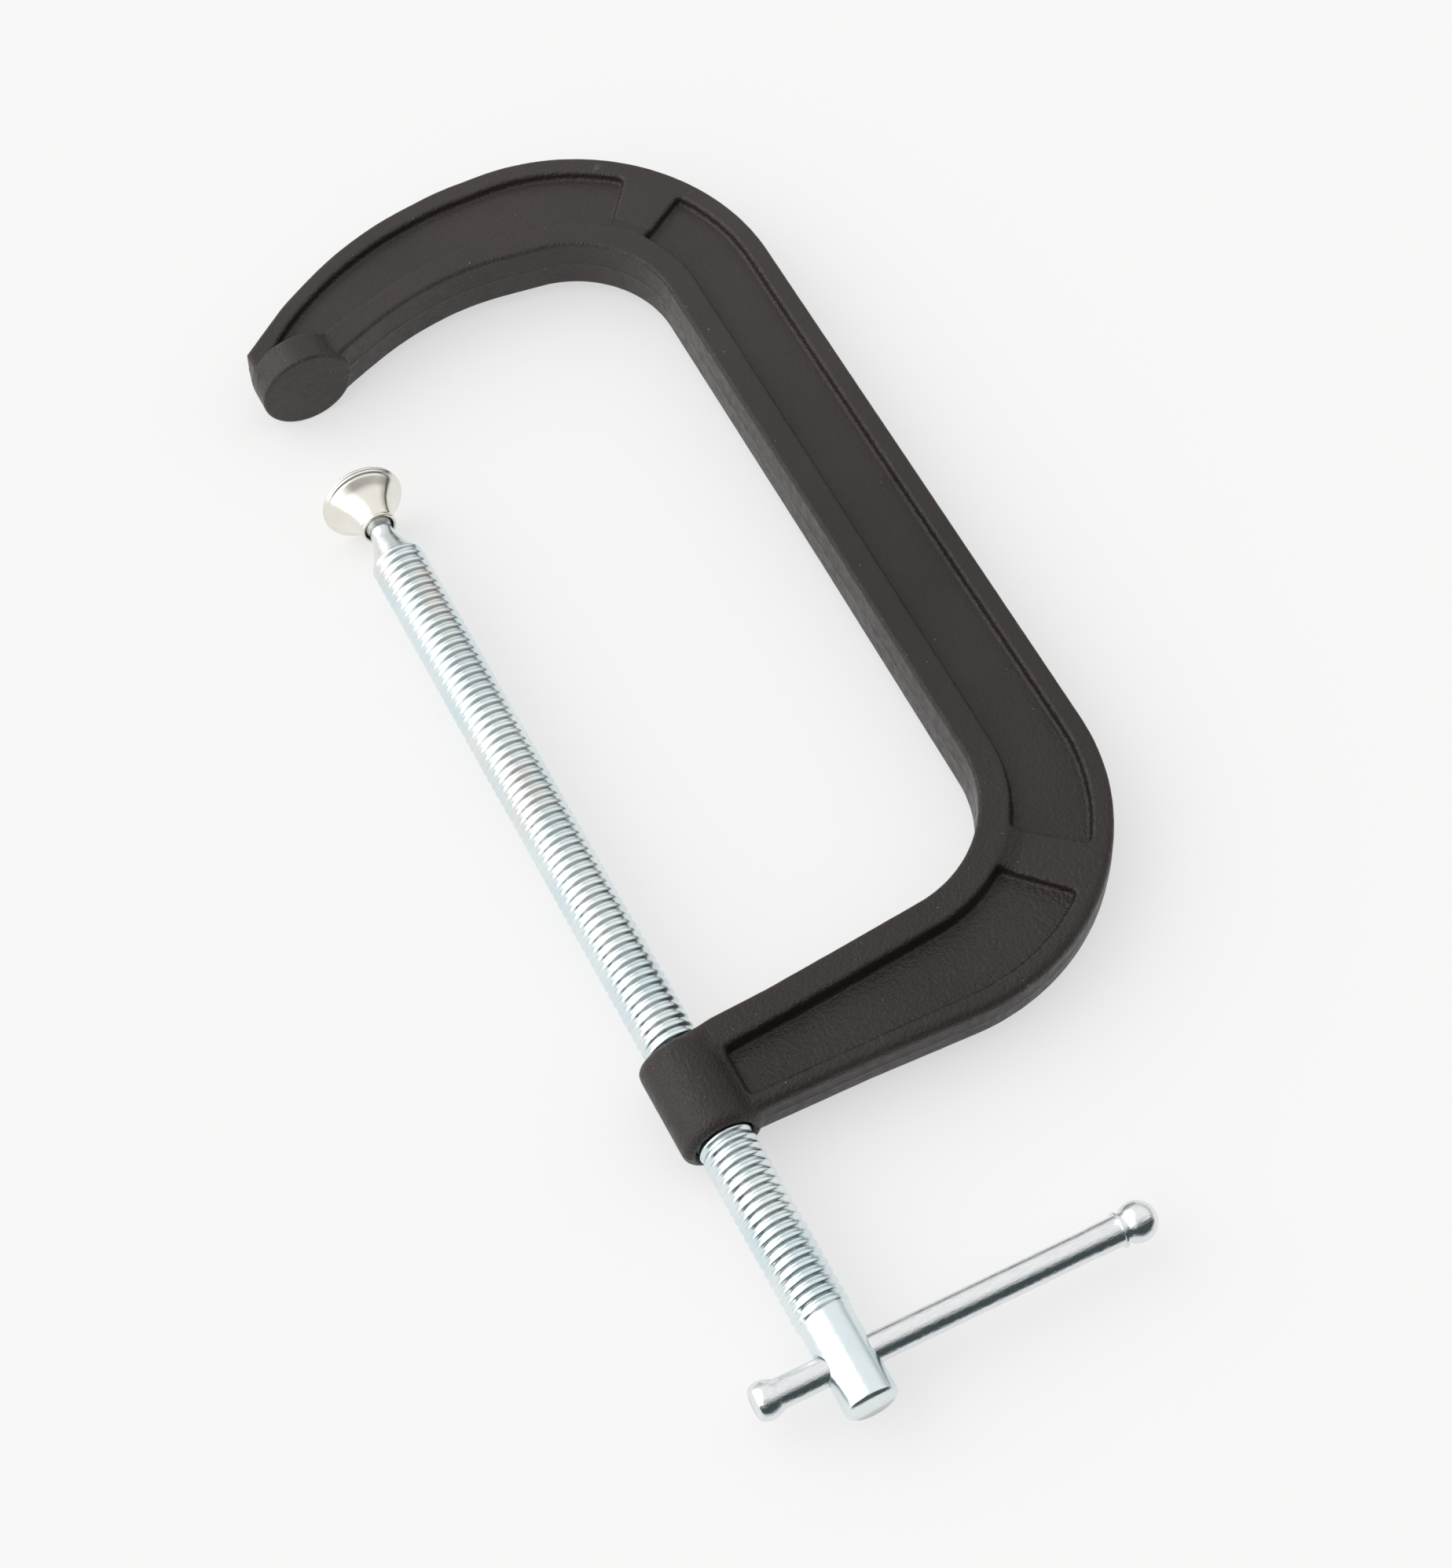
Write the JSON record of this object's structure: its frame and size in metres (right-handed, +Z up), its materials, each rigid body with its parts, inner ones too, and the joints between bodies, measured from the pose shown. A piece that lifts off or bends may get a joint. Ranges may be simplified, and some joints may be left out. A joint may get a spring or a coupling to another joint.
{
  "type": "c clamp",
  "caption": "Cast C-frame clamp with a ribbed frame, tapped boss, feed screw, tilting swivel pad on a ball end and a sliding cross bar for a handle.",
  "frame": {"origin": "where the feed screw's axis meets the anvil's flat face", "axes": "+X along the screw from the anvil to the handle, +Y from the screw to the frame's spine, +Z up out of the frame's side, with the clamp lying on its other side"},
  "size_m": [0.3624, 0.1538, 0.025],
  "materials": {
    "frame_paint": "semi-matt dark paint over a cast surface",
    "spindle_zinc": "bright zinc plate, cool tint",
    "ball_steel": "smooth turned steel",
    "pad_nickel": "polished nickel plate, warm tint",
    "bar_chrome": "bright plated bar with drawn texture"
  },
  "bodies": {
    "frame": {"frame": "frame_paint"},
    "ball_end": {"spindle_ball": "ball_steel"},
    "spindle": {"spindle": "spindle_zinc"},
    "swivel_pad": {"pad_shell": "pad_nickel", "pad_face": "pad_nickel"},
    "handle": {"handle_bar": "bar_chrome"}
  },
  "joints": [
    {"name": "feed", "type": "slide", "parent": "frame", "child": "ball_end", "axis": [1, 0, 0], "range_m": [-0.03531, 0.16764]},
    {"name": "spindle_turn", "type": "hinge", "parent": "ball_end", "child": "spindle", "pos_m": [0.047, 0, 0], "axis": [1, 0, 0], "range_deg": [-5004, 23760]},
    {"name": "pad_tilt", "type": "hinge", "parent": "ball_end", "child": "swivel_pad", "pos_m": [0.047, 0, 0], "axis": [0, 1, 0], "range_deg": [0, 21]},
    {"name": "handle_slide", "type": "slide", "parent": "spindle", "child": "handle", "axis": [0, 1, 0], "range_m": [-0.0634, 0.01]}
  ],
  "couplings": [
    {"joint": "feed", "follows": "spindle_turn", "m_per_rad": 0.00040425}
  ]
}
